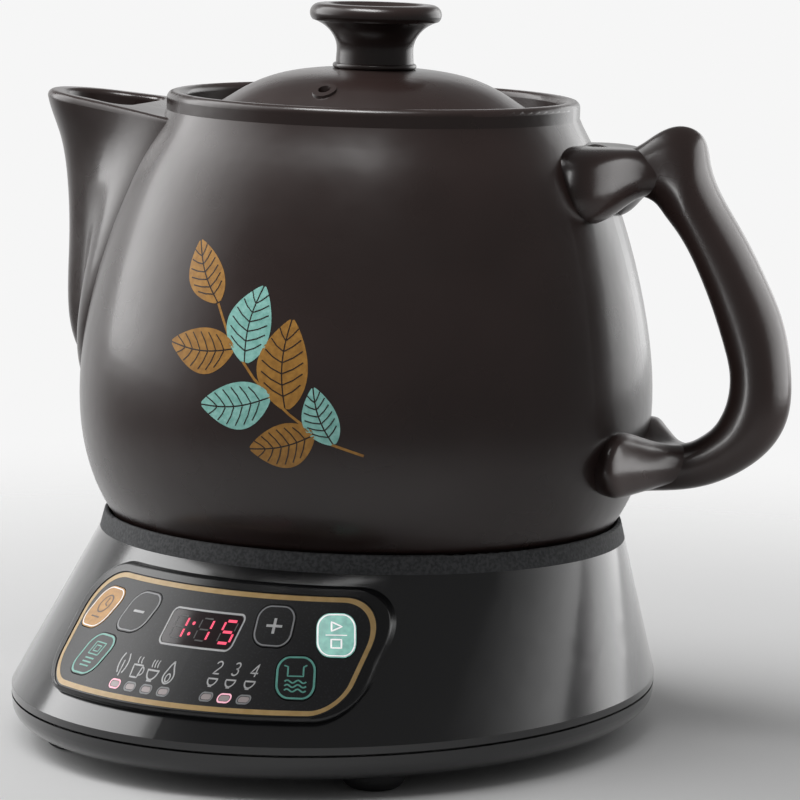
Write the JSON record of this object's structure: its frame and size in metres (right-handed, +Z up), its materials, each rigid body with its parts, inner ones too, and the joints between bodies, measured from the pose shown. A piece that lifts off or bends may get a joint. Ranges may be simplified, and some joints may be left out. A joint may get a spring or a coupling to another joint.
{
  "type": "electric herbal medicine pot",
  "caption": "Glazed stoneware medicine pot with a beak spout, side handle and drop-in knobbed lid, standing on an oval heating base with a sloping control panel.",
  "frame": {"origin": "centre of the footprint's bounding rectangle, on the table under the rubber feet", "axes": "+Z up, -Y towards the control panel, +X towards the handle side"},
  "size_m": [0.2745, 0.2718, 0.256],
  "materials": {
    "base_cover": "gloss black",
    "base_shell": "gloss black",
    "bezel": "gloss black",
    "board": "solder mask",
    "cutout": "phenolic",
    "display": "red digits",
    "element": "heat-tinted",
    "feet": "matt",
    "film": "printed film",
    "fuse": "plain",
    "glazed_stoneware": "glossy dark brown glaze",
    "inlet": "moulded",
    "key_dark": "printed",
    "key_ochre": "printed",
    "key_teal": "printed",
    "lights": "light pipes",
    "pins": "plated",
    "plate": "cast and turned",
    "relay": "moulded",
    "screws": "zinc",
    "shield": "pressed sheet",
    "small_parts": "moulded",
    "spring": "bright wire",
    "steel": "brushed",
    "top_ring": "matt, fine grain",
    "transformer": "laminated",
    "window": "smoked"
  },
  "bodies": {
    "base": {"base_housing": "base_shell", "bottom_cover": "base_cover", "base_feet": "feet", "cover_screws": "screws", "top_ring": "top_ring", "heating_dish": "steel", "heating_plate": "plate", "heating_element": "element", "element_terminals": "steel", "heat_shield": "shield", "sensor_cup": "shield", "sensor_spring": "spring", "thermal_cutout": "cutout", "thermal_fuse": "fuse", "panel_bezel": "bezel", "panel_film": "film", "display_window": "window", "display_module": "display", "indicator_lights": "lights", "switch_board": "board", "switch_domes": "steel", "power_board": "board", "transformer": "transformer", "relay": "relay", "board_parts": "small_parts", "buzzer": "small_parts", "mains_inlet": "inlet", "inlet_pins": "pins"},
    "pot": {"pot_body": "glazed_stoneware", "pot_floor": "glazed_stoneware", "pot_ledge": "glazed_stoneware", "pot_spout": "glazed_stoneware", "pot_handle": "glazed_stoneware"},
    "lid": {"lid": "glazed_stoneware", "lid_knob": "glazed_stoneware"},
    "sensor": {"sensor_cap": "steel"},
    "key_timer": {"key_timer": "key_ochre"},
    "key_minus": {"key_minus": "key_dark"},
    "key_plus": {"key_plus": "key_dark"},
    "key_start": {"key_start": "key_teal"},
    "key_function": {"key_function": "key_dark"},
    "key_water": {"key_water": "key_dark"}
  },
  "joints": [
    {"name": "pot_lift", "type": "slide", "parent": "base", "child": "pot", "axis": [0, 0, 1], "range_m": [0, 0.06]},
    {"name": "lid_lift", "type": "slide", "parent": "pot", "child": "lid", "axis": [0, 0, 1], "range_m": [0, 0.08]},
    {"name": "sensor_push", "type": "slide", "parent": "base", "child": "sensor", "axis": [0, 0, 1], "range_m": [-0.003, 0], "stiffness_N_per_m": 400, "springref_m": 0.001, "deforming": ["sensor_spring"]},
    {"name": "key_timer_press", "type": "slide", "parent": "base", "child": "key_timer", "axis": [0.3426, 0.6082, -0.7161], "range_m": [0, 0.0005], "stiffness_N_per_m": 3000, "springref_m": -0.0002},
    {"name": "key_minus_press", "type": "slide", "parent": "base", "child": "key_minus", "axis": [0.2042, 0.6305, -0.7489], "range_m": [0, 0.0005], "stiffness_N_per_m": 3000, "springref_m": -0.0002},
    {"name": "key_plus_press", "type": "slide", "parent": "base", "child": "key_plus", "axis": [-0.1671, 0.6342, -0.7549], "range_m": [0, 0.0005], "stiffness_N_per_m": 3000, "springref_m": -0.0002},
    {"name": "key_start_press", "type": "slide", "parent": "base", "child": "key_start", "axis": [-0.325, 0.6118, -0.7212], "range_m": [0, 0.0005], "stiffness_N_per_m": 3000, "springref_m": -0.0002},
    {"name": "key_function_press", "type": "slide", "parent": "base", "child": "key_function", "axis": [0.2904, 0.617, -0.7314], "range_m": [0, 0.0005], "stiffness_N_per_m": 3000, "springref_m": -0.0002},
    {"name": "key_water_press", "type": "slide", "parent": "base", "child": "key_water", "axis": [-0.2799, 0.6189, -0.7339], "range_m": [0, 0.0005], "stiffness_N_per_m": 3000, "springref_m": -0.0002}
  ]
}
